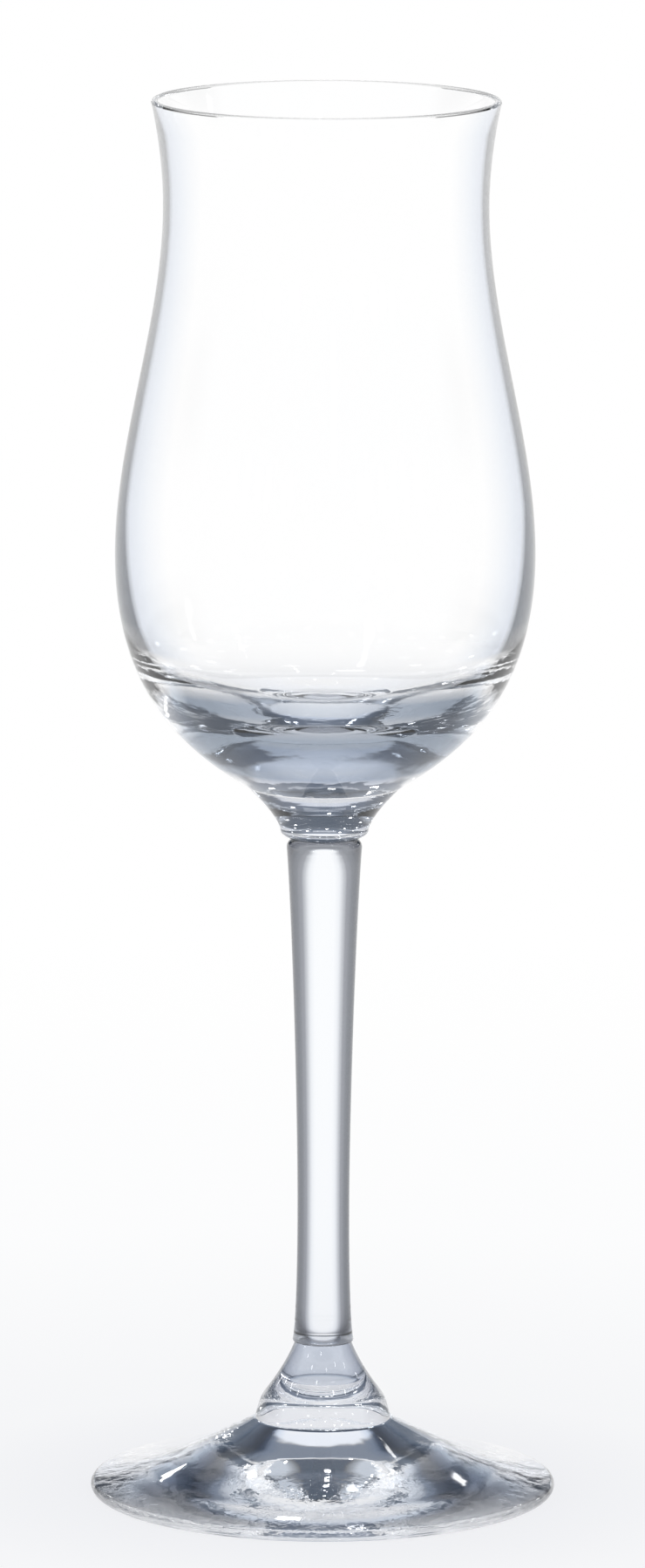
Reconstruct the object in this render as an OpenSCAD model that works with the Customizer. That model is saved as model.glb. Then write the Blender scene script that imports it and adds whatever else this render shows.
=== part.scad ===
// Digestif glass: a blown tulip bowl on a drawn stem and a pressed foot, in clear glass.
// Five gathers of glass are fused end to end, and each is one profile turned about the Z axis.
// Sizes are in millimetres. Z = 0 is the table, and the axis of the glass is the Z axis.
// A profile is a chain of bends: each leaves one point and reaches the next at a chosen lean.
// A lean is the angle from upright in degrees, positive where the profile goes outwards as it rises.
// A pull is how far the profile keeps to that lean before it bends away.

/* [Bowl] */
// Height of the bowl, from its seam with the upper collar to the rim
bowl_h = 83.2; // [74:0.2:96]
// Outer diameter of the rim
rim_d = 41.8; // [36:0.2:48]
// Thickness of the glass at the rim and the neck
rim_wall = 0.8; // [0.6:0.1:1.6]
// Lean of the lip at the rim
lip_lean = 12; // [4:1:20]
// Outer diameter of the neck, the narrow place under the lip
neck_d = 39.0; // [34:0.2:46]
// Height of the neck above the bowl's seam
neck_rise = 70.4; // [60:0.2:74]
// Outer diameter of the belly, the widest place
belly_d = 50.5; // [46:0.5:60]
// Height of the belly above the bowl's seam
belly_rise = 28.2; // [24:0.2:33]
// Thickness of the glass at the belly
belly_wall = 1.2; // [0.9:0.1:2.4]
// Thickness of the base under the drink, on the axis
base_t = 9.2; // [7:0.2:12]
// Lean of the bottom of the bowl where it leaves the seam
heel_lean = 58; // [45:1:70]
// Pull of the bottom of the bowl at the seam
heel_pull = 8.0; // [4:0.5:11]
// Pull of the side of the bowl under the belly
belly_pull = 17.4; // [14:0.2:20]
// Fullness of the hollow's floor: 2 is an ellipse, and more is squarer
floor_fullness = 3.2; // [2:0.1:3.7]

/* [Upper collar] */
// Height of the upper collar
upper_h = 6.4; // [5:0.1:9]
// Diameter of the seam between the upper collar and the bowl
bowl_seam_d = 18.4; // [15:0.2:22]
// Lean of the upper collar at the bowl
upper_lean = 46; // [30:1:55]
// Pull of the upper collar at the bowl
upper_pull = 2.6; // [1.5:0.1:3.2]
// Diameter of the upper collar's lower end
upper_end_d = 10.6; // [9.6:0.1:12]
// Height of the rounding of the upper collar's lower end
upper_round_h = 1.0; // [0.6:0.1:1.4]

/* [Stem] */
// Length of the stem, from weld to weld
stem_len = 62.0; // [40:0.5:90]
// Diameter of the stem's upper end
stem_top_d = 9.1; // [8.4:0.1:9.6]
// Radius of the rounding at the stem's upper end
stem_top_round = 1.0; // [0.3:0.05:1.4]
// Diameter of the stem at its waist, the thinnest place
waist_d = 6.3; // [5:0.1:6.8]
// Height of the waist above the stem's lower end
waist_rise = 16.6; // [12:0.2:24]
// Pull of the stem on each side of its waist
waist_pull = 11.0; // [6:0.5:12]
// Diameter of the bead where the stem's lower end swelled in the fire
bead_d = 7.4; // [7:0.1:8.4]
// Radius of the rounding under the bead
bead_round = 0.3; // [0.2:0.05:0.6]

/* [Lower collar] */
// Height of the lower collar
lower_h = 9.4; // [7:0.2:13]
// Diameter of the seam between the lower collar and the foot
foot_seam_d = 16.4; // [15:0.2:20]
// Diameter of the knee, where the band meets the flare
knee_d = 14.2; // [12:0.2:14.8]
// Height of the band between the foot and the knee
band_h = 3.1; // [2:0.1:4.4]
// Lean of the lower collar at the knee, inwards
knee_lean = 38; // [30:1:48]
// Lean of the lower collar at the stem, inwards
lower_neck_lean = 21; // [10:1:28]
// Pull of the flare at both ends
flare_pull = 2.4; // [1.4:0.1:3]

/* [Foot] */
// Diameter of the foot
foot_d = 56.4; // [50:0.4:68]
// Height of the foot, from the table to its seam with the lower collar
foot_h = 9.0; // [7.6:0.2:12]
// Thickness of the foot's rounded edge
edge_t = 1.4; // [1:0.1:2.2]
// Lean of the foot's top at the edge, inwards
edge_lean = 81.5; // [78:0.5:86]
// Pull of the foot's top at the edge
edge_pull = 8.0; // [5:0.5:10]
// Lean of the foot's top at the lower collar, inwards
dome_lean = 60; // [52:1:66]
// Pull of the foot's top at the lower collar
dome_pull = 5.2; // [3:0.1:6]
// Width of the flat ring that the glass stands on
ring_w = 2.4; // [1.2:0.1:4]
// Height of the hollow under the foot, on the axis
hollow_h = 1.0; // [0.6:0.1:3]

/* [Hidden] */

// Straight steps in each bend of a profile, and in each rounding
bend_steps = 14;
round_steps = 6;
$fn = 128;

// Radii shared by the two pieces of a seam: a weld is what a stem's rounded end leaves of its face
foot_seam_r = foot_seam_d / 2;
foot_weld_r = bead_d / 2 - bead_round;
stem_weld_r = stem_top_d / 2 - stem_top_round;
bowl_seam_r = bowl_seam_d / 2;

// Heights of the four seams above the table
lower_z = foot_h;
stem_z = lower_z + lower_h;
upper_z = stem_z + stem_len;
bowl_z = upper_z + upper_h;
echo(overall_height = bowl_z + bowl_h);

// Unit step along a lean
function along(lean) = [sin(lean), cos(lean)];

// Point of the cubic curve with ends a and d and handles b and c, at t from 0 to 1
function cubic(a, b, c, d, t) =
    pow(1 - t, 3) * a + 3 * t * pow(1 - t, 2) * b + 3 * t * t * (1 - t) * c + pow(t, 3) * d;

// Bend from a to b, with a lean and a pull at each end; the point a itself is left to the piece before
function bend(a, lean_a, pull_a, b, lean_b, pull_b) = [
    for (i = [1:bend_steps])
        cubic(a, a + pull_a * along(lean_a), b - pull_b * along(lean_b), b, i / bend_steps)
];

// Rounding about a centre, from one angle to another; its first point is left to the piece before
function rounding(centre, r, from, to) = [
    for (i = [1:round_steps])
        let (angle = from + (to - from) * i / round_steps)
        centre + r * [cos(angle), sin(angle)]
];

function reversed(points) = [for (i = [len(points) - 1:-1:0]) points[i]];

// One wall of the bowl from the belly up to the rim; the third of a rise as pull keeps the bends even
function bowl_wall(belly, neck, rim) = concat(
    [belly],
    bend(belly, 0, (neck.y - belly.y) / 3, neck, 0, (neck.y - belly.y) / 3),
    bend(neck, 0, (rim.y - neck.y) / 3, rim, lip_lean, (rim.y - neck.y) / 3)
);

// Floor of the bowl's hollow, from the belly down to the axis, as a full quarter oval
function bowl_floor(belly) = [
    for (i = [1:bend_steps])
        let (angle = 90 * i / bend_steps)
        [
            i == bend_steps ? 0 : belly.x * pow(cos(angle), 2 / floor_fullness),
            belly.y - (belly.y - base_t) * pow(sin(angle), 2 / floor_fullness)
        ]
];

// Bowl: blown tulip, thick at the base, thin at the lip, with a fire-polished rim
module bowl() {
    lip_z = bowl_h - rim_wall / 2;
    seam = [bowl_seam_r, 0];
    belly = [belly_d / 2, belly_rise];
    inner_belly = [belly_d / 2 - belly_wall, belly_rise];
    inner_neck = [neck_d / 2 - rim_wall, neck_rise];
    inner_rim = [rim_d / 2 - rim_wall, lip_z];
    heel = bend(seam, heel_lean, heel_pull, belly, 0, belly_pull);
    outer = bowl_wall(belly, [neck_d / 2, neck_rise], [rim_d / 2, lip_z]);
    lip = rounding([rim_d / 2 - rim_wall / 2, lip_z], rim_wall / 2, 0, 180);
    inner = reversed(bowl_wall(inner_belly, inner_neck, inner_rim));
    color("AliceBlue")
        translate([0, 0, bowl_z])
            rotate_extrude()
                polygon(concat(
                    [[0, 0], seam],
                    [for (i = [0:bend_steps - 2]) heel[i]],
                    outer,
                    [for (i = [0:round_steps - 2]) lip[i]],
                    inner,
                    bowl_floor(inner_belly)
                ));
}

// Upper collar: trumpet cone that spreads the stem's load into the bowl
module upper_collar() {
    weld = [stem_weld_r, 0];
    end = [upper_end_d / 2, upper_round_h];
    seam = [bowl_seam_r, upper_h];
    color("LightSteelBlue")
        translate([0, 0, upper_z])
            rotate_extrude()
                polygon(concat(
                    [[0, 0], weld],
                    bend(weld, 85, upper_round_h / 2, end, 5, upper_round_h / 2),
                    bend(end, 5, upper_pull / 2, seam, upper_lean, upper_pull),
                    [[0, upper_h]]
                ));
}

// Stem: drawn solid rod with a bead at the foot end and a rounded shoulder at the bowl end
module stem() {
    bead = [bead_d / 2, bead_round];
    waist = [waist_d / 2, waist_rise];
    shoulder = [stem_top_d / 2, stem_len - stem_top_round];
    color("LightCyan")
        translate([0, 0, stem_z])
            rotate_extrude()
                polygon(concat(
                    [[0, 0], [foot_weld_r, 0]],
                    rounding([foot_weld_r, bead_round], bead_round, -90, 0),
                    bend(bead, -20, bead_round * 2, waist, 0, waist_pull),
                    bend(waist, 0, waist_pull, shoulder, 4, waist_pull),
                    rounding([stem_weld_r, shoulder.y], stem_top_round, 0, 90),
                    [[0, stem_len]]
                ));
}

// Lower collar: rounded band on the foot, then a flare that runs up into the stem
module lower_collar() {
    seam = [foot_seam_r, 0];
    knee = [knee_d / 2, band_h];
    weld = [foot_weld_r, lower_h];
    color("LightSteelBlue")
        translate([0, 0, lower_z])
            rotate_extrude()
                polygon(concat(
                    [[0, 0], seam],
                    bend(seam, -8, band_h / 3, knee, -knee_lean, band_h / 4),
                    bend(knee, -knee_lean, flare_pull, weld, -lower_neck_lean, flare_pull),
                    [[0, lower_h]]
                ));
}

// Foot: pressed disc with a thin rounded edge, a flat standing ring and a hollow underside
module foot() {
    edge_r = edge_t / 2;
    ring_r = foot_d / 2 - edge_r;
    hollow_r = ring_r - ring_w;
    tip = rounding([ring_r, edge_r], edge_r, -90, edge_lean);
    color("AliceBlue")
        rotate_extrude()
            polygon(concat(
                [for (i = [0:bend_steps]) [hollow_r * i / bend_steps, hollow_h * (1 - pow(i / bend_steps, 2))]],
                [[ring_r, 0]],
                tip,
                bend(tip[round_steps - 1], -edge_lean, edge_pull, [foot_seam_r, foot_h], -dome_lean, dome_pull),
                [[0, foot_h]]
            ));
}

foot();
lower_collar();
stem();
upper_collar();
bowl();
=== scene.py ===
# %% [markdown]
# A digestif glass in clear glass
#
# The real glass is five gathers of hot glass, fused end to end: a pressed foot, a small flared collar, a
# drawn stem, a second collar and a blown tulip bowl. Every piece is round, so each one is a profile, a line
# in the radius-height plane, turned about the Z axis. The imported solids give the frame, and the surfaces
# made here stand for them with the same sizes and many more steps, because glass shows every facet by the
# way it bends light.

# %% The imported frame
import math

import bpy
import numpy as np
from mathutils import Matrix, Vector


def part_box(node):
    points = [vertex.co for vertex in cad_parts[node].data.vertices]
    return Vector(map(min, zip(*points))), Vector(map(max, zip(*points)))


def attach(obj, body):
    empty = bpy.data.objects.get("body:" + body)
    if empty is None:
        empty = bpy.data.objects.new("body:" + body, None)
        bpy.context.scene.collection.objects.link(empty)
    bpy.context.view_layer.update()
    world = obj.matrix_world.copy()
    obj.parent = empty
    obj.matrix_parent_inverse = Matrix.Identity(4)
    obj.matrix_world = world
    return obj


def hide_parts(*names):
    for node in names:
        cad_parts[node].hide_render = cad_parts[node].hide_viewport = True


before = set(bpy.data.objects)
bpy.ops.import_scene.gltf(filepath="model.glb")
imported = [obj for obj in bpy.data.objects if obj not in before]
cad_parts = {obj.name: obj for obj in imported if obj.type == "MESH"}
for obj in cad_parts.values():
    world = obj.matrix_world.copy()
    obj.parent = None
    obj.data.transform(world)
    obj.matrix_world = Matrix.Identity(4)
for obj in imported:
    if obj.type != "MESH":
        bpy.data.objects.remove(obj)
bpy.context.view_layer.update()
scene = bpy.context.scene
print("nodes in the frame:", list(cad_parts))

# %% [markdown]
# Heights and seams
#
# The sizes are those of the solids, in millimetres, because that is how a glass is drawn. The mesh builder
# turns them into metres at the very end. Two pieces meet at each of the four seams, so the heights of the
# pieces and the radii of the seams come first. The other sizes of a piece come with the piece.

# %% Heights and seams
MM = 0.001

foot_h = 9.0
lower_h = 9.4
stem_len = 62.0
upper_h = 6.4
bowl_h = 83.2

foot_seam_d = 16.4
bead_d = 7.4
bead_round = 0.3
stem_top_d = 9.1
stem_top_round = 1.0
bowl_seam_d = 18.4

foot_seam_r = foot_seam_d / 2
foot_weld_r = bead_d / 2 - bead_round
stem_weld_r = stem_top_d / 2 - stem_top_round
bowl_seam_r = bowl_seam_d / 2

lower_z = foot_h
stem_z = lower_z + lower_h
upper_z = stem_z + stem_len
bowl_z = upper_z + upper_h
print("seams at", lower_z, stem_z, upper_z, bowl_z, "and the rim at", bowl_z + bowl_h, "mm")

# %% [markdown]
# Profiles
#
# A profile could be traced point by point, but a glass maker thinks in bends: the wall leaves one place at
# a lean, keeps to it for a while and settles into the lean of the next place. That is a cubic curve with
# two handles. A rounding is an arc of a circle. Both are worked out as whole arrays.

# %% Bends and roundings
BEND_STEPS = 48
ROUND_STEPS = 16


def along(lean):
    """Unit step at a lean from upright, in degrees: its sine outwards and its cosine upwards."""
    return np.array([math.sin(math.radians(lean)), math.cos(math.radians(lean))])


def bend(a, lean_a, pull_a, b, lean_b, pull_b):
    """Cubic curve from a to b. Its handles lie a pull along the lean at a, and a pull back along the lean
    at b. The point a itself is left to the stretch before."""
    a, b = np.array(a, float), np.array(b, float)
    t = np.linspace(0, 1, BEND_STEPS + 1)[1:, None]
    handle_a, handle_b = a + pull_a * along(lean_a), b - pull_b * along(lean_b)
    return (1 - t) ** 3 * a + 3 * t * (1 - t) ** 2 * handle_a + 3 * t**2 * (1 - t) * handle_b + t**3 * b


def rounding(centre, r, start, end):
    """Arc about a centre: the radius times the cosine and sine of even angles, without the first point."""
    angle = np.radians(np.linspace(start, end, ROUND_STEPS + 1)[1:])
    return np.array(centre) + r * np.stack([np.cos(angle), np.sin(angle)], axis=1)


def chain(*stretches):
    """Joins points and stretches of a profile into one array of radius and height."""
    return np.concatenate([np.atleast_2d(np.array(stretch, float)) for stretch in stretches])


print("a bend has", BEND_STEPS, "steps and a rounding", ROUND_STEPS)

# %% [markdown]
# Turning a profile
#
# Blender's Spin and Screw tools would turn a profile too. Here the rings of points are worked out directly:
# every profile point times the cosine and sine of every angle. A profile begins and ends on the axis, so
# the two ends close in a single pole and the surface is a closed body with its faces outwards.

# %% Rings of points and faces
TURN_STEPS = 192


def turned_points(profile, z0):
    """Points (r cos a, r sin a, z) of the rings between the profile's ends, then its two poles."""
    r, z = profile[:, 0], profile[:, 1] + z0
    angle = np.linspace(0, 2 * np.pi, TURN_STEPS, endpoint=False)
    ring_r, ring_z = r[1:-1, None], z[1:-1, None]
    rings = np.stack([ring_r * np.cos(angle), ring_r * np.sin(angle), ring_z + 0 * angle], axis=2)
    poles = np.array([[0, 0, z[0]], [0, 0, z[-1]]])
    return np.concatenate([rings.reshape(-1, 3), poles]) * MM


def turned_faces(rings):
    """Triangles about the first pole, quads from each ring to the next, then triangles about the last."""
    here = np.arange(TURN_STEPS)
    there = (here + 1) % TURN_STEPS
    row = np.arange(rings - 1)[:, None] * TURN_STEPS
    above = row + TURN_STEPS
    quads = np.stack([row + here, row + there, above + there, above + here], axis=2).reshape(-1, 4)
    top = (rings - 1) * TURN_STEPS
    first, last = np.full(TURN_STEPS, rings * TURN_STEPS), np.full(TURN_STEPS, rings * TURN_STEPS + 1)
    opening = np.stack([first, there, here], axis=1)
    closing = np.stack([top + here, top + there, last], axis=1)
    return opening.tolist() + quads.tolist() + closing.tolist()


print("a ring has", TURN_STEPS, "points")

# %% [markdown]
# Material slots along the profile
#
# One piece can wear several finishes, as the bowl does on its heel, wall, lip and hollow. The turner counts
# the stretches along the profile and gives each face the slot of its stretch. Slot 1 is kept for the fused
# seams, the flat discs between two gathers, because in the real glass there is no surface there.

# %% The turner
SHARP_DEG = 38
SEAM_SLOT = 1


def turn(name, profile, z0, seams=(), starts=()):
    """Turns a profile into a piece. seams lists the stretches that are fused faces, and starts lists the
    stretches at which slots 2, 3 and so on begin."""
    verts, faces = turned_points(profile, z0), turned_faces(len(profile) - 2)
    stretches = len(profile) - 1
    stretch = np.repeat(np.arange(stretches), TURN_STEPS)
    slots = np.zeros(len(stretch), np.int32)
    for slot, start in enumerate(starts, SEAM_SLOT + 1):
        slots[stretch >= start] = slot
    slots[np.isin(stretch, [seam % stretches for seam in seams])] = SEAM_SLOT

    mesh = bpy.data.meshes.new(name)
    mesh.from_pydata(verts.tolist(), [], faces)
    mesh.polygons.foreach_set("material_index", slots)
    mesh.polygons.foreach_set("use_smooth", np.ones(len(faces), bool))
    mesh.set_sharp_from_angle(angle=math.radians(SHARP_DEG))
    mesh.update()
    piece = bpy.data.objects.new(name, mesh)
    scene.collection.objects.link(piece)
    print(name, len(verts), "points", len(faces), "faces")
    return piece


print("edges stay sharp above", SHARP_DEG, "degrees")

# %% [markdown]
# The foot
#
# The foot is pressed while soft: a thin rounded edge, a top that climbs slowly and then faster to the
# collar, and a hollow underside, so that the glass stands on a flat ring and doesn't rock. A flattened
# sphere would be quick, but it has neither the edge nor the ring. Here the edge is an arc, the top a bend
# and the hollow a parabola, and the flat stretch between the hollow and the edge is the ring.

# %% Foot
foot_d = 56.4
edge_t = 1.4
edge_lean = 81.5
edge_pull = 8.0
dome_lean = 60
dome_pull = 5.2
ring_w = 2.4
hollow_h = 1.0

edge_r = edge_t / 2
ring_r = foot_d / 2 - edge_r
hollow_r = ring_r - ring_w
outward = np.linspace(0, 1, BEND_STEPS + 1)
hollow = np.stack([hollow_r * outward, hollow_h * (1 - outward**2)], axis=1)
edge = rounding((ring_r, edge_r), edge_r, -90, edge_lean)
foot_top = bend(edge[-1], -edge_lean, edge_pull, (foot_seam_r, foot_h), -dome_lean, dome_pull)
foot_profile = chain(hollow, (ring_r, 0), edge, foot_top, (0, foot_h))
foot = turn("foot_glass", foot_profile, 0, seams=[-1], starts=[len(hollow)])

# %% [markdown]
# The lower collar
#
# A small gather joins the stem to the foot. It has a rounded band where it sits on the foot, a knee, and a
# flare that runs up into the stem. The side leans in more and more up to the knee and then less again. One
# bend could swing like that, but two that share the knee are easier to steer.

# %% Lower collar
knee_d = 14.2
knee_lean = 38
band_h = 3.1
band_lean = 8
lower_neck_lean = 21
flare_pull = 2.4

knee = (knee_d / 2, band_h)
round_band = bend((foot_seam_r, 0), -band_lean, band_h / 3, knee, -knee_lean, band_h / 4)
flare = bend(knee, -knee_lean, flare_pull, (foot_weld_r, lower_h), -lower_neck_lean, flare_pull)
lower_profile = chain((0, 0), (foot_seam_r, 0), round_band, flare, (0, lower_h))
lower_collar = turn("lower_collar_glass", lower_profile, lower_z, seams=[0, -1])

# %% [markdown]
# The stem
#
# A drawn stem is pulled out of hot glass, so it tapers to a waist in its lower third. The fire rounds its
# ends: a bead swells where it was pressed on the collar, and the shoulder at the top is soft. A tapered
# cylinder would be too straight, so two long bends meet upright at the waist.

# %% Stem
waist_d = 6.3
waist_rise = 16.6
waist_pull = 11.0
bead_lean = 20
shoulder_lean = 4

waist = (waist_d / 2, waist_rise)
shoulder = (stem_top_d / 2, stem_len - stem_top_round)
bead = rounding((foot_weld_r, bead_round), bead_round, -90, 0)
draw_low = bend(bead[-1], -bead_lean, bead_round * 2, waist, 0, waist_pull)
draw_high = bend(waist, 0, waist_pull, shoulder, shoulder_lean, waist_pull)
stem_end = rounding((stem_weld_r, shoulder[1]), stem_top_round, 0, 90)
stem_profile = chain((0, 0), (foot_weld_r, 0), bead, draw_low, draw_high, stem_end, (0, stem_len))
stem = turn("stem_glass", stem_profile, stem_z, seams=[0, -1])

# %% [markdown]
# The upper collar
#
# A trumpet-shaped cone spreads the thin stem into the heavy base of the bowl. Its lower end is rounded
# over, from almost flat at the weld to almost upright. A plain cone would look machined, so a bend opens it
# towards the bowl.

# %% Upper collar
upper_lean = 46
upper_pull = 2.6
upper_end_d = 10.6
upper_round_h = 1.0
under_lean = 85
end_lean = 5

upper_end = (upper_end_d / 2, upper_round_h)
underside = bend((stem_weld_r, 0), under_lean, upper_round_h / 2, upper_end, end_lean, upper_round_h / 2)
trumpet = bend(upper_end, end_lean, upper_pull / 2, (bowl_seam_r, upper_h), upper_lean, upper_pull)
upper_profile = chain((0, 0), (stem_weld_r, 0), underside, trumpet, (0, upper_h))
upper_collar = turn("upper_collar_glass", upper_profile, upper_z, seams=[0, -1])

# %% [markdown]
# The walls of the bowl
#
# The bowl is blown: a heavy heel, a full belly, a narrow neck and a lip that opens again. The outer and the
# inner wall are the same two bends at different radii, so one function makes both. The hollow has a floor
# of its own, a quarter of a full oval, which is squarer than an ellipse and leaves the base thick.

# %% Wall and floor of the bowl
rim_d = 41.8
rim_wall = 0.8
lip_lean = 12
neck_d = 39.0
neck_rise = 70.4
belly_d = 50.5
belly_rise = 28.2
belly_wall = 1.2
base_t = 9.2
floor_fullness = 3.2


def bowl_wall(belly, neck, rim):
    """One wall from the belly to the rim, as two bends that stand upright at the belly and the neck."""
    up, lip = (neck[1] - belly[1]) / 3, (rim[1] - neck[1]) / 3
    return chain(belly, bend(belly, 0, up, neck, 0, up), bend(neck, 0, lip, rim, lip_lean, lip))


def bowl_floor(belly):
    """Quarter of a full oval, from the belly to the axis: cosine and sine to the power 2 / fullness."""
    angle = np.radians(np.linspace(0, 90, BEND_STEPS + 1)[1:])
    r = belly[0] * np.abs(np.cos(angle)) ** (2 / floor_fullness)
    r[-1] = 0
    drop = (belly[1] - base_t) * np.sin(angle) ** (2 / floor_fullness)
    return np.stack([r, belly[1] - drop], axis=1)


lip_z = bowl_h - rim_wall / 2
belly_at, inner_belly_at = (belly_d / 2, belly_rise), (belly_d / 2 - belly_wall, belly_rise)
neck_at, inner_neck_at = (neck_d / 2, neck_rise), (neck_d / 2 - rim_wall, neck_rise)
rim_at, inner_rim_at = (rim_d / 2, lip_z), (rim_d / 2 - rim_wall, lip_z)
outer = bowl_wall(belly_at, neck_at, rim_at)
inner = bowl_wall(inner_belly_at, inner_neck_at, inner_rim_at)[::-1]
hollow_floor = bowl_floor(inner_belly_at)
print("wall", belly_wall, "mm at the belly and", rim_wall, "mm at the rim, base", base_t, "mm")

# %% [markdown]
# The bowl in one turn
#
# The heel is one bend from the seam to the belly, and the rim is melted to a half round, which joins the
# outer wall to the inner one. The profile runs from the seam, up the outside, over the lip and down the
# hollow to the axis. Its finishes change where the solid heel ends, at the lip and inside, so the turner is
# told where on the profile these begin.

# %% Bowl
heel_lean = 58
heel_pull = 8.0
belly_pull = 17.4
heel_rise = 17.7

heel = bend((bowl_seam_r, 0), heel_lean, heel_pull, belly_at, 0, belly_pull)
lip = rounding((rim_d / 2 - rim_wall / 2, lip_z), rim_wall / 2, 0, 180)
bowl_profile = chain((0, 0), (bowl_seam_r, 0), heel[:-1], outer, lip[:-1], inner, hollow_floor)
wall_from = 1 + int(np.argmax(heel[:, 1] > heel_rise))
lip_from = len(heel) + len(outer)
hollow_from = lip_from + len(lip)
bowl = turn("bowl_glass", bowl_profile, bowl_z, seams=[0], starts=[wall_from, lip_from, hollow_from])

# %% [markdown]
# Shader nodes
#
# A node tree can be wired by hand in the Shader Editor. In a script every node is made, set and linked by
# name, so a few small helpers keep the finishes readable. Most of them add a node and hand back the socket
# that comes out.


# %% Node helpers
def add(tree, kind, **inputs):
    """Adds a shader node and sets its inputs by name, with underscores for spaces."""
    node = tree.nodes.new("ShaderNode" + kind)
    for name, value in inputs.items():
        node.inputs[name.replace("_", " ")].default_value = value
    return node


def feed(tree, socket, source):
    """Links a source to an input where it is a socket, and sets the input where it is a plain value."""
    if isinstance(source, bpy.types.NodeSocket):
        tree.links.new(source, socket)
    else:
        socket.default_value = source


def ramp(tree, value, stops):
    """Colour ramp over a value, with a stop for each (place, colour)."""
    node = add(tree, "ValToRGB")
    marks = node.color_ramp.elements
    while len(marks) < len(stops):
        marks.new(0.5)
    for mark, (place, colour) in zip(marks, stops):
        mark.position = place
        mark.color = (*colour, 1)
    tree.links.new(value, node.inputs["Fac"])
    return node.outputs["Color"]


def spread(tree, value, low, high):
    """Map Range: 0 at low, 1 at high and even between them."""
    node = add(tree, "MapRange", From_Min=low, From_Max=high)
    tree.links.new(value, node.inputs["Value"])
    return node.outputs["Result"]


print("helpers for nodes, links, ramps and ranges are ready")


# %% Sums and mixes
def maths(tree, operation, a, b):
    """Math node on two sockets or numbers."""
    node = add(tree, "Math")
    node.operation = operation
    feed(tree, node.inputs[0], a)
    feed(tree, node.inputs[1], b)
    return node.outputs["Value"]


def vector_maths(tree, operation, a, b=(0, 0, 0)):
    """Vector Math node on two sockets or vectors. It gives a vector, or a number for a length."""
    node = add(tree, "VectorMath")
    node.operation = operation
    feed(tree, node.inputs[0], a)
    feed(tree, node.inputs[1], b)
    return node.outputs["Value" if operation == "LENGTH" else "Vector"]


def blended(tree, amount, a, b, how="MIX"):
    """Mix node from colour a to colour b by an amount. LIGHTEN takes the lighter of the two instead."""
    node = add(tree, "MixRGB")
    node.blend_type = how
    feed(tree, node.inputs["Fac"], amount)
    feed(tree, node.inputs["Color1"], a)
    feed(tree, node.inputs["Color2"], b)
    return node.outputs["Color"]


def parts_of(tree, vector):
    """X, Y and Z of a vector."""
    node = add(tree, "SeparateXYZ")
    tree.links.new(vector, node.inputs["Vector"])
    return node.outputs["X"], node.outputs["Y"], node.outputs["Z"]


print("helpers for sums, vectors, mixes and parts are ready")

# %% [markdown]
# The skin of worked glass
#
# Glass that was pressed or blown is never quite true: it has slow waves from the mould and the fire, and a
# faint haze where it was wiped. Both are noise on Object coordinates, so that they lie in the glass. Every
# finish has its own waves, so they are one node group with a place and a stretch going in, and a height and
# a haze coming out.

# %% Wavy skin
WIPING_SCALE = 90.0
CLEAN, WIPED = 0.45, 0.8
LEAST_HAZE, MOST_HAZE = 0.02, 0.09

skin = bpy.data.node_groups.new("wavy_skin", "ShaderNodeTree")
for label in ("Place", "Stretch"):
    skin.interface.new_socket(label, in_out="INPUT", socket_type="NodeSocketVector")
for label in ("Height", "Haze"):
    skin.interface.new_socket(label, in_out="OUTPUT", socket_type="NodeSocketFloat")
skin_in = skin.nodes.new("NodeGroupInput")
skin_out = skin.nodes.new("NodeGroupOutput")
stretched = vector_maths(skin, "MULTIPLY", skin_in.outputs["Place"], skin_in.outputs["Stretch"])
waves = add(skin, "TexNoise", Scale=1.0, Detail=3.0, Roughness=0.5)
wiping = add(skin, "TexNoise", Scale=WIPING_SCALE, Detail=3.0, Roughness=0.6)
haze = add(skin, "MapRange", From_Min=CLEAN, From_Max=WIPED, To_Min=LEAST_HAZE, To_Max=MOST_HAZE)
skin.links.new(stretched, waves.inputs["Vector"])
skin.links.new(skin_in.outputs["Place"], wiping.inputs["Vector"])
skin.links.new(wiping.outputs["Fac"], haze.inputs["Value"])
skin.links.new(waves.outputs["Fac"], skin_out.inputs["Height"])
skin.links.new(haze.outputs["Result"], skin_out.inputs["Haze"])
print("wavy_skin has", len(skin.nodes), "nodes")

# %% [markdown]
# Where clear glass looks dark
#
# Clear glass has no colour of its own. On a white table it is seen by its edges, which bend the eye's ray
# towards the dark side of the room. Tracing rays finds a part of that, and painted shade adds the rest.
# Layer
# Weight's Facing is 0 where the surface looks at the eye and 1 where it is seen edge on, and a colour ramp
# over it paints dark and pale bands of shade along the edges, from every side alike. The bands of a thick
# heel lie elsewhere than those of a thin wall, so a second ramp, over the height, moves, widens and weakens
# them.
# The foot and the outside of the bowl get the painted shade only on light's way in, because painted shade on
# its way out as well would draw their far side over the near one. The narrow stem and collars get it both
# ways.

# %% Painted shade by facing
WHITE = (1, 1, 1)


def band(z, strength, amount=1.0, shift=0.0):
    """Stop of the ramp over the height: a height in millimetres, and a colour whose red, green and blue
    hold the shift, the strength and the amount of the painted shade there."""
    return z * MM, (shift, strength, amount)


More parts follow.
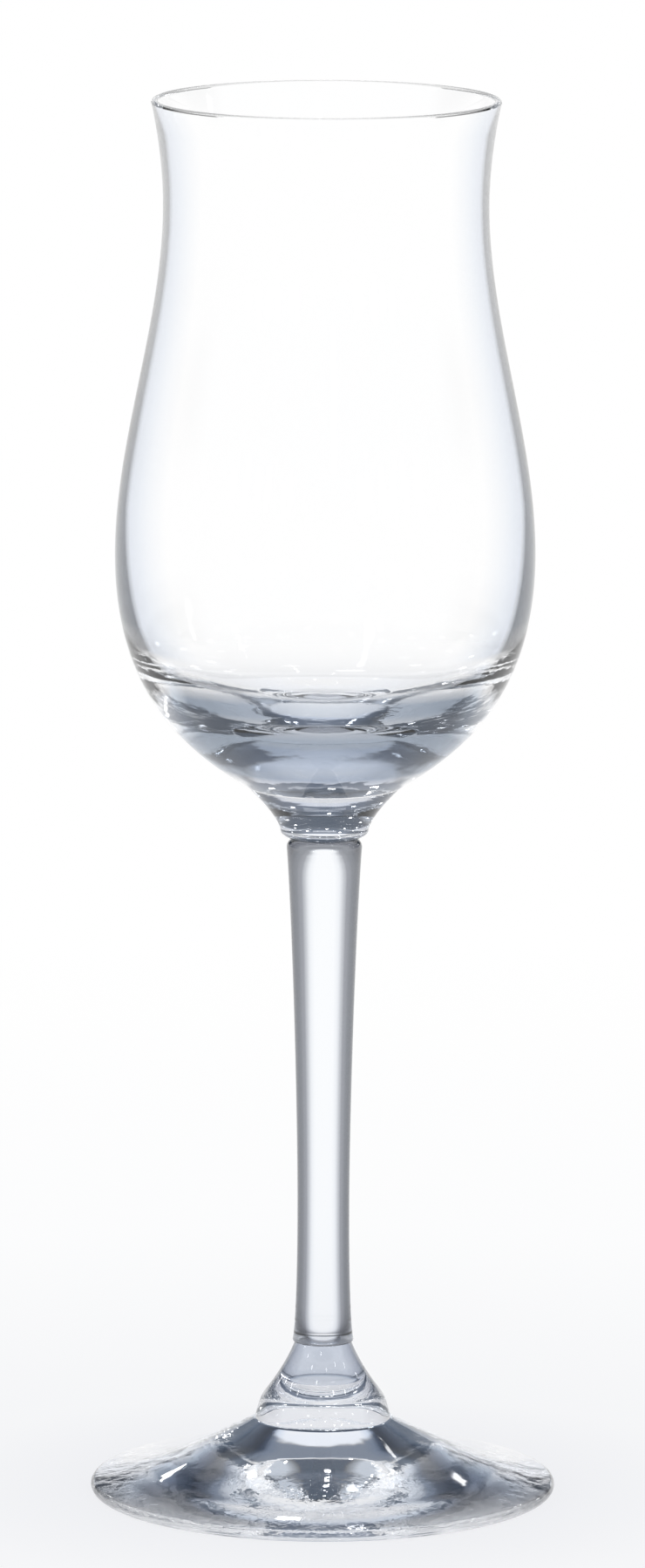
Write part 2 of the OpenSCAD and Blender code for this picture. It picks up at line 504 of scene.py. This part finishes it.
def painted_shade_by_facing(tree, place, painted_shades, bands, entering):
    """Painted shade: a colour ramp over (facing - shift) * strength, mixed from white by an amount, where
    all three come from the ramp over the height. Without bands it is the ramp over the facing alone.
    entering takes the amount to 0 where light leaves the glass."""
    facing = add(tree, "LayerWeight", Blend=0.5).outputs["Facing"]
    if not bands:
        return ramp(tree, facing, painted_shades)
    low, high = bands[0][0], bands[-1][0]
    stops = [((z - low) / (high - low), values) for z, values in bands]
    rise = spread(tree, parts_of(tree, place)[2], low, high)
    by_height = add(tree, "SeparateColor")
    tree.links.new(ramp(tree, rise, stops), by_height.inputs["Color"])
    shift, strength, amount = by_height.outputs
    moved = maths(tree, "MULTIPLY", maths(tree, "SUBTRACT", facing, shift), strength)
    if entering:
        leaving = add(tree, "NewGeometry").outputs["Backfacing"]
        amount = maths(tree, "MULTIPLY", maths(tree, "SUBTRACT", 1.0, leaving), amount)
    return blended(tree, amount, (*WHITE, 1), ramp(tree, moved, painted_shades))


print("Facing runs from 0, at the eye, to 1, edge on")

# %% [markdown]
# Glass
#
# The Principled shader with full transmission is glass, and it bends light by its IOR. A lamp's ray can't
# be traced back through curved glass without much noise, so for shadow rays alone the glass is a pale clear
# film. The waves go in as a bump, and can be made to fade out towards the axis.

# %% Glass
GLASS_IOR = 1.52
LAMP_LOSS = (0.9, 0.91, 0.92, 1)
FLAT = (1, 1, 0)


def calm_middle(tree, place, height, start, full):
    """Height of the waves, times 0 within the start radius and growing to 1 at the full radius."""
    radius = vector_maths(tree, "LENGTH", vector_maths(tree, "MULTIPLY", place, FLAT))
    return maths(tree, "MULTIPLY", spread(tree, radius, start * MM, full * MM), height)


def glass(name, stretch, depth, painted_shades=None, bands=None, entering=True, mirror=1.0, cover=1.0, calm=None):
    """Glass with a wavy skin. stretch is the waves in a metre along X, Y and Z, and depth is their bump in
    millimetres. painted_shades, bands and entering are the painted shade by facing. mirror is how much the
    surface reflects, cover is its Alpha, and calm gives the two radii in millimetres between which the waves
    grow."""
    mat = bpy.data.materials.new(name)
    mat.use_nodes = True
    tree = mat.node_tree
    tree.nodes.clear()
    link = tree.links.new
    place = add(tree, "TexCoord").outputs["Object"]
    body = add(tree, "BsdfPrincipled", Transmission_Weight=1.0, IOR=GLASS_IOR, Alpha=cover)
    body.inputs["Base Color"].default_value = (*WHITE, 1)
    body.inputs["Specular Tint"].default_value = (mirror, mirror, mirror, 1)
    # painted shade by facing goes into Base Color
    if painted_shades:
        link(painted_shade_by_facing(tree, place, painted_shades, bands, entering), body.inputs["Base Color"])

    surface = add(tree, "Group")
    surface.node_tree = skin
    surface.inputs["Stretch"].default_value = stretch
    link(place, surface.inputs["Place"])
    height = surface.outputs["Height"]
    if calm:
        height = calm_middle(tree, place, height, *calm)
    bump = add(tree, "Bump", Strength=1.0, Distance=depth * MM)
    link(height, bump.inputs["Height"])
    link(bump.outputs["Normal"], body.inputs["Normal"])
    link(surface.outputs["Haze"], body.inputs["Roughness"])

    film = add(tree, "BsdfTransparent", Color=LAMP_LOSS)
    either = add(tree, "MixShader")
    link(add(tree, "LightPath").outputs["Is Shadow Ray"], either.inputs["Fac"])
    link(body.outputs["BSDF"], either.inputs[1])
    link(film.outputs["BSDF"], either.inputs[2])
    link(either.outputs["Shader"], add(tree, "OutputMaterial").inputs["Surface"])
    print(name, len(tree.nodes), "nodes")
    return mat


print("glass bends light by an IOR of", GLASS_IOR)

# %% [markdown]
# Fused seams, and dressing a piece
#
# Where two gathers have run together there is no surface left, so the seam discs get an Alpha of 0 and
# light goes straight on. Dressing a piece fills its material slots in order, hangs it on the one body of
# the glass, and hides the solid it stands for. The largest gap between the two boxes shows that it has
# that solid's size.

# %% Fused seam and dressing
fused = bpy.data.materials.new("fused_seam")
fused.use_nodes = True
fused.node_tree.nodes["Principled BSDF"].inputs["Alpha"].default_value = 0


def dress(piece, node, slot, *finishes):
    """Gives a piece its finishes, in the order of its material slots, and its place in the frame."""
    for finish in finishes:
        piece.data.materials.append(finish)
    gap = np.abs(np.array(piece.bound_box)[[0, 6]] - np.array(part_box(node))).max()
    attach(piece, "root")
    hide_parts(node)
    print(piece.name, "has", len(finishes), "finishes and fits its solid to", round(gap / MM, 2), "mm")


print(fused.name, "lets light straight through")

# %% [markdown]
# Finish of the foot
#
# Pressed glass has soft ripples. Seen from above the table, the foot's top is clear in front, with painted
# dark blue-grey shade on its two shoulders and pale again at the tips, and the painted shade moves outwards
# and narrows as the foot gets thinner.

# %% Foot top
RIPPLES, RIPPLE_DEPTH = (110, 110, 110), 0.1
# painted shade of the foot over the facing: clear, then dark blue-grey, then pale at the edge
foot_painted_shade = [
    (0.46, WHITE),
    (0.5, (0.62, 0.7, 0.82)),
    (0.525, (0.06, 0.085, 0.14)),
    (0.545, (0.008, 0.012, 0.024)),
    (0.57, (0.003, 0.005, 0.011)),
    (0.6, (0.008, 0.013, 0.027)),
    (0.63, (0.026, 0.038, 0.068)),
    (0.66, (0.055, 0.075, 0.12)),
    (0.69, (0.18, 0.23, 0.31)),
    (0.72, (0.43, 0.5, 0.6)),
    (0.75, (0.76, 0.8, 0.87)),
    (0.78, WHITE),
]
foot_shade_bands = [
    band(0, 1.5, amount=0, shift=0.26),
    band(1.3, 1.5, amount=0.3, shift=0.26),
    band(1.65, 1.6, amount=0.72, shift=0.26),
    band(1.95, 1.5, amount=0.9, shift=0.235),
    band(2.5, 1.5, amount=0.95, shift=0.23),
    band(3.05, 1, shift=0.01),
    band(3.65, 1),
    band(4.5, 1.1, amount=0.97, shift=0.03),
    band(5.7, 1, amount=0.92),
    band(7, 1.2),
    band(foot_h, 1.2),
]
foot_finish = glass("foot_pressed_glass", RIPPLES, RIPPLE_DEPTH, foot_painted_shade, foot_shade_bands)

# %% [markdown]
# Underside of the foot
#
# The underside is finely rippled, as glass is where it cooled on a plate, and smooth in the middle. The
# ripples break what is seen through the foot into many small sparkles.

# %% Underside
FINE_RIPPLES, FINE_DEPTH = (420, 420, 420), 0.12
SMOOTH_R, RIPPLED_R = 6, 12
underside_finish = glass("underside_pressed_glass", FINE_RIPPLES, FINE_DEPTH, calm=(SMOOTH_R, RIPPLED_R))
dress(foot, "foot", "foot_glass", underside_finish, fused, foot_finish)

# %% [markdown]
# Finish of the collars
#
# The collars are small and solid, and painted shade darkens them towards their edges. The lower one is
# painted greyer all over, a painted shade for the dark foot that shows in it, and its band on the foot has
# less of it. Faint turned lines run round both, so their waves lie close in height.

# %% Collars
TURNED_LINES, TURNED_DEPTH = (150, 150, 300), 0.01
# painted shade of the lower collar: grey face on, near black edge on
lower_collar_painted_shade = [
    (0, (0.76, 0.78, 0.82)),
    (0.2, (0.72, 0.75, 0.81)),
    (0.45, (0.4, 0.42, 0.49)),
    (0.7, (0.09, 0.1, 0.12)),
    (1, (0.06, 0.06, 0.07)),
]
lower_collar_shade_bands = [
    band(lower_z, 1, amount=0.7),
    band(lower_z + band_h - 0.3, 1, amount=0.7),
    band(lower_z + band_h + 0.7, 1),
    band(stem_z, 1),
]
# painted shade of the upper collar: clear face on, dark grey edge on
upper_collar_painted_shade = [
    (0, WHITE),
    (0.2, (0.97, 0.98, 1)),
    (0.45, (0.5, 0.53, 0.6)),
    (0.7, (0.27, 0.29, 0.34)),
    (1, (0.18, 0.2, 0.23)),
]
lower_finish = glass(
    "collar_pressed_glass", TURNED_LINES, TURNED_DEPTH, lower_collar_painted_shade, lower_collar_shade_bands, entering=False
)
upper_finish = glass("upper_collar_glass", TURNED_LINES, TURNED_DEPTH, upper_collar_painted_shade)
dress(lower_collar, "lower_collar", "collar_glass", lower_finish, fused)
dress(upper_collar, "upper_collar", "collar_glass", upper_finish, fused)

# %% [markdown]
# Finish of the stem
#
# A round solid rod is a strong lens. It is clear along its middle, and painted shade turns its sides dark
# early and lightens only a little at the very edge. The clear middle closes in an arch at both ends, so the
# painted bands spread inwards there. Drawing leaves long streaks, so the waves are close across the stem and
# slow along it.

# %% Stem finish
DRAWN_STREAKS, STREAK_DEPTH = (400, 400, 10), 0.005
# painted shade of the stem: clear in the middle, dark towards the sides
stem_painted_shade = [
    (0, (0.97, 0.985, 1)),
    (0.07, (0.95, 0.97, 1)),
    (0.12, (0.78, 0.81, 0.86)),
    (0.18, (0.36, 0.38, 0.425)),
    (0.25, (0.13, 0.137, 0.16)),
    (0.4, (0.083, 0.09, 0.105)),
    (0.7, (0.097, 0.104, 0.119)),
    (1, (0.145, 0.15, 0.167)),
]
stem_shade_bands = [
    band(stem_z, 3.6),
    band(stem_z + 0.5, 2.2),
    band(stem_z + 1.1, 1.5),
    band(stem_z + 2, 1.15),
    band(stem_z + 3.6, 1),
    band(upper_z - 4.4, 1),
    band(upper_z - 3.4, 1.05),
    band(upper_z - 2.4, 1.22),
    band(upper_z - 1.4, 1.64),
    band(upper_z - 0.9, 2.8),
    band(upper_z - 0.6, 4),
    band(upper_z, 4),
]
stem_finish = glass("stem_drawn_glass", DRAWN_STREAKS, STREAK_DEPTH, stem_painted_shade, stem_shade_bands, entering=False)
dress(stem, "stem", "stem_glass", stem_finish, fused)

# %% [markdown]
# Finish of the bowl's wall
#
# A thin blown wall is all but invisible face on. Painted shade turns it blue-grey near its edge and ends it
# in a fine painted dark line. Two walls lie behind each other, so their reflections are held back, or the
# white room would veil the bowl.

# %% Bowl wall
BLOWN_WAVES, BLOWN_DEPTH = (60, 60, 20), 0.01
BOWL_MIRROR = 0.3
# painted shade of the bowl's wall: clear, then blue-grey, then a dark outline edge on
wall_painted_shade = [
    (0.36, WHITE),
    (0.48, (0.83, 0.87, 0.93)),
    (0.56, (0.7, 0.76, 0.86)),
    (0.66, (0.55, 0.61, 0.73)),
    (0.73, (0.035, 0.042, 0.055)),
    (1, (0.02, 0.025, 0.032)),
]
wall_shade_bands = [
    band(bowl_z + 17.6, 1.22, amount=0),
    band(bowl_z + 18.4, 1.22, amount=0.9),
    band(bowl_z + 21.2, 1.15),
    band(bowl_z + 35.2, 1),
    band(bowl_z + 53.2, 1, amount=0.92),
    band(bowl_z + 79.7, 1, amount=0.85),
    band(bowl_z + bowl_h, 0.85, amount=0.8),
]
wall_finish = glass(
    "bowl_blown_glass", BLOWN_WAVES, BLOWN_DEPTH, wall_painted_shade, wall_shade_bands, mirror=BOWL_MIRROR
)

# %% [markdown]
# Finish of the heel
#
# The heel is solid glass under the drink, and painted shade stands for the dark of the room it gathers: two
# deep painted dark bands beside a clear middle. They open towards the stem, and fade out where the wall
# begins.

# %% Bowl heel
HEEL_WAVES, HEEL_DEPTH = (150, 150, 150), 0.08
# painted shade of the heel: two dark blue-grey bands between clear glass
heel_painted_shade = [
    (0.12, WHITE),
    (0.2, (0.48, 0.55, 0.66)),
    (0.28, (0.13, 0.17, 0.24)),
    (0.4, (0.075, 0.105, 0.155)),
    (0.53, (0.06, 0.085, 0.13)),
    (0.62, (0.35, 0.43, 0.54)),
    (0.72, WHITE),
]
heel_shade_bands = [
    band(bowl_z, 0.4, amount=0),
    band(bowl_z + 1, 0.42, amount=0.1),
    band(bowl_z + 3, 0.48),
    band(bowl_z + 5.2, 0.5),
    band(bowl_z + 7.2, 0.7),
    band(bowl_z + 8.8, 0.93),
    band(bowl_z + 10.4, 0.98, amount=0.8),
    band(bowl_z + 11.8, 1.02),
    band(bowl_z + 13.2, 1.1),
    band(bowl_z + 14.1, 1.15, amount=0.8),
    band(bowl_z + 15, 1.22, amount=0.35),
    band(bowl_z + 16.4, 1.22, amount=0.25),
    band(bowl_z + heel_rise, 1.22, amount=0),
]
heel_finish = glass("heel_blown_glass", HEEL_WAVES, HEEL_DEPTH, heel_painted_shade, heel_shade_bands)

# %% [markdown]
# Finish of the hollow and the lip
#
# The hollow shows only its floor, as a soft painted dark line where the floor is seen edge on. It is seen
# through the heel, where light leaves the glass, so the painted shade is laid both ways. The lip is so thin
# that the picture holds only a part of it, so it covers less than the rest.

# %% Bowl hollow and lip
LIP_COVER = 0.3
# painted shade of the hollow: a dark line edge on
hollow_painted_shade = [
    (0.72, WHITE),
    (0.85, (0.4, 0.43, 0.49)),
    (1, (0.15, 0.17, 0.2)),
]
hollow_shade_bands = [
    band(bowl_z + 9.1, 1),
    band(bowl_z + 12.7, 1),
    band(bowl_z + 14.7, 1, amount=0),
]
hollow_finish = glass(
    "hollow_blown_glass", BLOWN_WAVES, BLOWN_DEPTH, hollow_painted_shade, hollow_shade_bands,
    entering=False, mirror=BOWL_MIRROR,
)
lip_finish = glass("lip_polished_glass", BLOWN_WAVES, BLOWN_DEPTH, mirror=BOWL_MIRROR, cover=LIP_COVER)
dress(bowl, "bowl", "bowl_glass", heel_finish, fused, wall_finish, lip_finish, hollow_finish)

# %% [markdown]
# The table
#
# The glass stands on a white table that runs to the horizon. A white surface under soft light would need
# strong lamps, so most of the floor glows by itself, at 1, which is white. Near the glass it glows a little
# less and bluer, a painted shadow of the object, and a share of plain matt white takes the lamps' real
# shadows. A square plane would do, but a disc ends equally far away on every side.

# %% Floor disc
FLOOR_R = 14.0
FLOOR_STEPS = 96
FLOOR_DROP = 0.00005
around = np.linspace(0, 2 * np.pi, FLOOR_STEPS, endpoint=False)
floor_points = FLOOR_R * np.stack([np.cos(around), np.sin(around), 0 * around], axis=1)
floor_points[:, 2] = -FLOOR_DROP
floor_mesh = bpy.data.meshes.new("floor")
floor_mesh.from_pydata(floor_points.tolist(), [], [list(range(FLOOR_STEPS))])
floor = bpy.data.objects.new("floor", floor_mesh)
scene.collection.objects.link(floor)
print("floor", 2 * FLOOR_R, "m across")

# %% Floor finish
BLACK = (0, 0, 0)
MATT_WHITE = (0.85, 0.86, 0.88, 1)
FLOOR_FADE = 0.6
# white glow far out, with a painted shadow, darker and bluer, near the glass
glow_and_painted_shadow_stops = [
    (0, (0.7, 0.75, 0.84)),
    (0.02, (0.8, 0.84, 0.91)),
    (0.04, (0.935, 0.94, 0.965)),
    (0.05, (0.94, 0.945, 0.968)),
    (0.085, (0.985, 0.988, 1)),
    (0.2, (0.99, 0.993, 1)),
    (0.5, WHITE),
]
matt_stops = [(0, (0.12, 0.12, 0.12)), (0.1, (0.1, 0.1, 0.1)), (0.25, (0.03, 0.03, 0.03)), (0.6, BLACK)]
floor_finish = bpy.data.materials.new("pale_floor")
floor_finish.use_nodes = True
tree = floor_finish.node_tree
tree.nodes.clear()
away = vector_maths(tree, "LENGTH", add(tree, "TexCoord").outputs["Object"])
share = spread(tree, away, 0, FLOOR_FADE)
glow = add(tree, "Emission", Strength=1.0)
matt = add(tree, "BsdfDiffuse", Color=MATT_WHITE)
both = add(tree, "MixShader")
tree.links.new(ramp(tree, share, glow_and_painted_shadow_stops), glow.inputs["Color"])
tree.links.new(ramp(tree, share, matt_stops), both.inputs["Fac"])
tree.links.new(glow.outputs["Emission"], both.inputs[1])
tree.links.new(matt.outputs["BSDF"], both.inputs[2])
tree.links.new(both.outputs["Shader"], add(tree, "OutputMaterial").inputs["Surface"])
floor_mesh.materials.append(floor_finish)
print("the floor glows white beyond", glow_and_painted_shadow_stops[-1][0] * FLOOR_FADE, "m")

# %% [markdown]
# The room
#
# Glass shows the room around it. A picture of a room is often used for that, but a few ramps do it too,
# with every light in reach. The world is white at the horizon, bright in front of the table, dusky
# blue-grey at the back and overhead, with one wide window low at the back and a soft panel in the roof on
# each side of it. The world's Generated coordinates are directions, and an oval of light is all that lies
# close to one direction, each axis measured in its own radius.

# %% Directions in the room
FRONT = (0.9, 0.94, 1.0)
DUSK = (0.095, 0.12, 0.16)
MID = (0.2, 0.235, 0.3)
wall_stops = [(0, FRONT), (0.38, FRONT), (0.5, DUSK), (0.93, DUSK), (0.975, MID)]

world = bpy.data.worlds.new("studio")
scene.world = world
world.use_nodes = True
room = world.node_tree
room.nodes.clear()
direction = add(room, "TexCoord").outputs["Generated"]
rise = parts_of(room, direction)[2]
level = vector_maths(room, "NORMALIZE", vector_maths(room, "MULTIPLY", direction, FLAT))
to_back = parts_of(room, level)[1]
walls = ramp(room, spread(room, to_back, -1, 1), wall_stops)
print("room", len(room.nodes), "nodes so far")

# %% Ovals of light
WINDOW = (0.88, 0.92, 1.0)
WINDOW_AT, WINDOW_RADII, WINDOW_EDGE = (0, 1, 0.13), (0.38, 0.7, 0.1), (0.9, 1.12)
PANEL = (0.62, 0.67, 0.74)
PANEL_AT, PANEL_RADII, PANEL_EDGE = (0.52, 0.6, 0.63), (0.33, 0.7, 0.15), (0.7, 1.2)
OVAL_REACH = 2


def oval_light(tree, towards, centre, radii, edge_from, edge_to, colour):
    """Colour of a soft oval: the length of (direction - centre) / radii is 1 at its rim. It is even up to
    the first length of its edge and black beyond the second."""
    offset = vector_maths(tree, "SUBTRACT", towards, centre)
    scaled = vector_maths(tree, "MULTIPLY", offset, [1 / radius for radius in radii])
    inside = spread(tree, vector_maths(tree, "LENGTH", scaled), 0, OVAL_REACH)
    return ramp(tree, inside, [(0, colour), (edge_from / OVAL_REACH, colour), (edge_to / OVAL_REACH, BLACK)])


window = oval_light(room, direction, WINDOW_AT, WINDOW_RADII, *WINDOW_EDGE, WINDOW)
either_side = vector_maths(room, "ABSOLUTE", direction)
panels = oval_light(room, either_side, PANEL_AT, PANEL_RADII, *PANEL_EDGE, PANEL)
back_panels = blended(room, maths(room, "GREATER_THAN", to_back, 0.0), (*BLACK, 1), panels)
print("one window and two panels")

# %% Roof and horizon
ROOF_FROM, ROOF_TO = 0.5, 0.65
HORIZON_FROM, HORIZON_TO = 0.08, 0.15
under_roof = blended(room, spread(room, rise, ROOF_FROM, ROOF_TO), walls, (*DUSK, 1))
windowed = blended(room, 1.0, under_roof, window, "LIGHTEN")
lit = blended(room, 1.0, windowed, back_panels, "LIGHTEN")
above_horizon = spread(room, rise, HORIZON_FROM, HORIZON_TO)
light = add(room, "Background", Strength=1.0)
room.links.new(blended(room, above_horizon, (*WHITE, 1), lit), light.inputs["Color"])
room.links.new(light.outputs["Background"], add(room, "OutputWorld").inputs["Surface"])
print("room", len(room.nodes), "nodes")

# %% [markdown]
# Lamps
#
# Worked glass sparkles because every ripple catches a small bright thing. One softbox hangs behind the
# glass, three small lamps stand on each side of the front, and a cloud of weak ones hangs overhead. The
# golden angle between them spreads the cloud evenly, with no two in a line.

# %% Lamp maker
LAMP_DISTANCE = 1.3


def softbox(name, size, watts, turn_deg, rise_deg):
    """Area lamp on a sphere about the glass, at a turn about Z and a rise above the table, facing it."""
    data = bpy.data.lights.new(name, "AREA")
    data.shape = "RECTANGLE"
    data.size, data.size_y = size
    data.energy = watts
    lamp = bpy.data.objects.new(name, data)
    turn_rad, rise_rad = math.radians(turn_deg), math.radians(rise_deg)
    out = LAMP_DISTANCE * math.cos(rise_rad)
    lamp.location = (out * math.cos(turn_rad), out * math.sin(turn_rad), LAMP_DISTANCE * math.sin(rise_rad))
    lamp.rotation_euler = (math.radians(90) - rise_rad, 0, turn_rad + math.radians(90))
    scene.collection.objects.link(lamp)


print("lamps stand", LAMP_DISTANCE, "m from the glass")

# %% Lamps
BACK_TURN = 90
BACK_SIZE, BACK_WATTS, BACK_RISE = (0.45, 0.16), 0.075, 28
FRONT_BEARINGS = (-160, -147, -134, 134, 147, 160)
FRONT_SIZE, FRONT_WATTS, FRONT_RISE = (0.04, 0.06), 0.1, 13
CLOUD, GOLDEN_ANGLE = 36, 137.508
CLOUD_SIZE, CLOUD_WATTS = (0.05, 0.05), 0.07
CLOUD_LOW, CLOUD_HIGH = 16, 62

softbox("back_softbox", BACK_SIZE, BACK_WATTS, BACK_TURN, BACK_RISE)
for bearing in FRONT_BEARINGS:
    softbox(f"front_lamp_{bearing}", FRONT_SIZE, FRONT_WATTS, BACK_TURN - bearing, FRONT_RISE)
for count in range(CLOUD):
    rise_deg = CLOUD_LOW + (CLOUD_HIGH - CLOUD_LOW) * count / CLOUD
    softbox(f"small_lamp_{count}", CLOUD_SIZE, CLOUD_WATTS, GOLDEN_ANGLE * count, rise_deg)
print(len(bpy.data.lights), "lamps")

# %% [markdown]
# Bounces
#
# A ray can turn many times inside the solid foot and stem before it leaves, and a ray that is cut off comes
# back black, so the limits are above Blender's own. Caustics would only be noise on the white table.

# %% Bounces
scene.cycles.max_bounces = 18
scene.cycles.glossy_bounces = 12
scene.cycles.transmission_bounces = 18
scene.cycles.transparent_max_bounces = 24
scene.cycles.caustics_reflective = False
scene.cycles.caustics_refractive = False
print("a ray may turn", scene.cycles.max_bounces, "times")

# %% [markdown]
# Camera
#
# The ovals of the rim and the foot show how far the camera looks down, and how much more the foot's oval
# opens than the rim's shows how near it is. The focal length then makes the glass as tall as it is in the
# picture, whose longer side is as wide as the sensor, and a small roll takes up the lean of the picture.

# %% Camera
PICTURE_H = 1800
FOCAL_PIXELS = 12900
SENSOR = 36
CLIP_NEAR, CLIP_FAR = 0.05, 60
CAM_ACROSS, CAM_DISTANCE, CAM_HEIGHT = -0.00025, 1.334, 0.320
CAM_TILT, CAM_ROLL = 9.905, 0.162
lens = bpy.data.cameras.new("camera")
lens.sensor_width = SENSOR
lens.lens = FOCAL_PIXELS * SENSOR / PICTURE_H
lens.clip_start, lens.clip_end = CLIP_NEAR, CLIP_FAR
camera = bpy.data.objects.new("camera", lens)
camera.location = (CAM_ACROSS, -CAM_DISTANCE, CAM_HEIGHT)
tilt = Matrix.Rotation(math.radians(90 - CAM_TILT), 3, "X")
camera.rotation_euler = (tilt @ Matrix.Rotation(math.radians(CAM_ROLL), 3, "Z")).to_euler()
scene.collection.objects.link(camera)
scene.camera = camera
scene.view_settings.view_transform = "Standard"
print("lens", round(lens.lens, 1), "mm")
